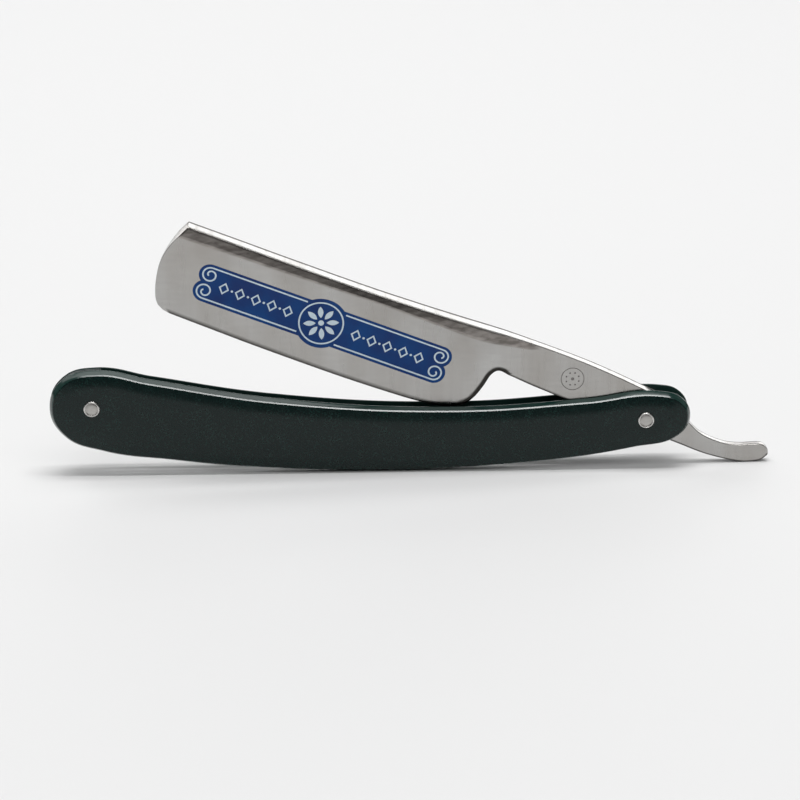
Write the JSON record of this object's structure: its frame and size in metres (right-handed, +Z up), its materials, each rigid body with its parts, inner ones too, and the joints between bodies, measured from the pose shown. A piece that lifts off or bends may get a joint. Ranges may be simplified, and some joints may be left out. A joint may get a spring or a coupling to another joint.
{
  "type": "straight razor",
  "caption": "Folding straight razor: a wide hollow-ground blade with a square notch at the heel and a curved tail, pinned between two dark bent scales closed by a tapered spacer.",
  "frame": {"origin": "centre of the object's footprint, on the surface that it stands on", "axes": "+X along the handle towards the pivot end, +Y through the scales towards the rear scale, +Z up"},
  "size_m": [0.1744, 0.011, 0.062],
  "materials": {
    "blade_steel": "finely ground and polished carbon steel",
    "scale_plastic": "polished, very dark green with faint pearl flecks",
    "pin_metal": "polished, peened ends",
    "washer_brass": "satin",
    "etched_panel": "blue fill in a shallow etched panel"
  },
  "bodies": {
    "handle": {"front_scale": "scale_plastic", "rear_scale": "scale_plastic", "wedge_spacer": "scale_plastic", "pivot_pin": "pin_metal", "pivot_collar_front": "pin_metal", "pivot_collar_rear": "pin_metal", "pivot_washer_front": "washer_brass", "pivot_washer_rear": "washer_brass", "wedge_pin": "pin_metal", "wedge_collar_front": "pin_metal", "wedge_collar_rear": "pin_metal"},
    "blade": {"blade": "blade_steel"}
  },
  "joints": [
    {"name": "blade_pivot", "type": "hinge", "parent": "handle", "child": "blade", "pos_m": [0.05658, 0, 0.01267], "axis": [0, 1, 0], "range_deg": [-14, 300]}
  ]
}
